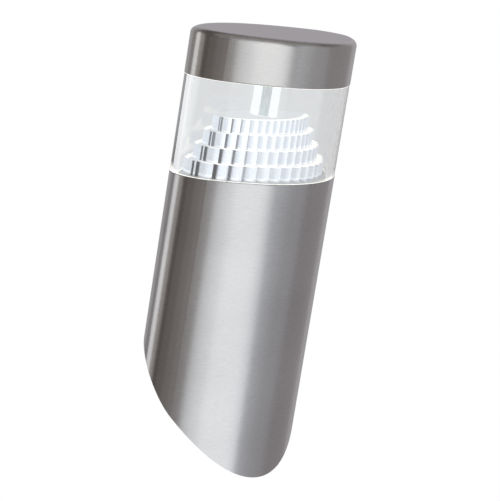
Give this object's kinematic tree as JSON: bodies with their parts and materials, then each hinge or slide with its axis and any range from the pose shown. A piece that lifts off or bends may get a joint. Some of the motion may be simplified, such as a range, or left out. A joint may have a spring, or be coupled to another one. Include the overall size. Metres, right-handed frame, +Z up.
{
  "type": "outdoor wall light",
  "caption": "Outdoor wall light: slant-cut flat oval brushed steel tube on the wall, clear lens band with a stepped fluted prism lit from below, steel cap on top.",
  "frame": {"origin": "point where the tube's centre line meets the wall plane, middle of the wall fixing", "axes": "+Z up, wall plane is XZ with the wall on the +Y side, the light stands out towards -Y"},
  "size_m": [0.11, 0.1053, 0.186],
  "materials": {
    "brushed_steel": "fine brushed grain around the section",
    "zinc_steel": "zinc plated",
    "stainless_screw": "bright stainless",
    "galvanised_steel": "galvanised",
    "aluminium": "mill finish",
    "clear_lens": "clear polycarbonate",
    "clear_prism": "clear acrylic",
    "white_plastic": "white moulded",
    "board_white": "white solder mask",
    "led": "LED package",
    "seal_rubber": "moulded seal",
    "pad_foam": "closed-cell foam",
    "terminal_plastic": "moulded nylon",
    "brass": "turned brass",
    "led_lead": "insulated wire",
    "supply_lead": "insulated wire"
  },
  "bodies": {
    "root": {"body_tube": "brushed_steel", "top_cap": "brushed_steel", "cap_boss": "zinc_steel", "tie_rod": "zinc_steel", "tie_washer": "zinc_steel", "tie_nut": "zinc_steel", "board_screws": "zinc_steel", "carrier_screws": "zinc_steel", "driver_screws": "zinc_steel", "lock_nut": "zinc_steel", "earth_nut": "zinc_steel", "earth_washer": "zinc_steel", "lock_screw": "stainless_screw", "wall_bracket": "galvanised_steel", "carrier_plate": "aluminium", "driver_standoffs": "aluminium", "clear_lens": "clear_lens", "prism_pyramid": "clear_prism", "centre_post": "clear_prism", "cap_insert": "white_plastic", "base_reflector": "white_plastic", "driver_housing": "white_plastic", "led_board": "board_white", "led_chips": "led", "lens_gasket_bottom": "seal_rubber", "lens_gasket_top": "seal_rubber", "cable_grommet": "seal_rubber", "wall_pad": "pad_foam", "terminal_block": "terminal_plastic", "terminal_screws": "brass", "earth_stud": "brass", "led_leads": "led_lead", "supply_leads": "supply_lead"}
  },
  "joints": []
}
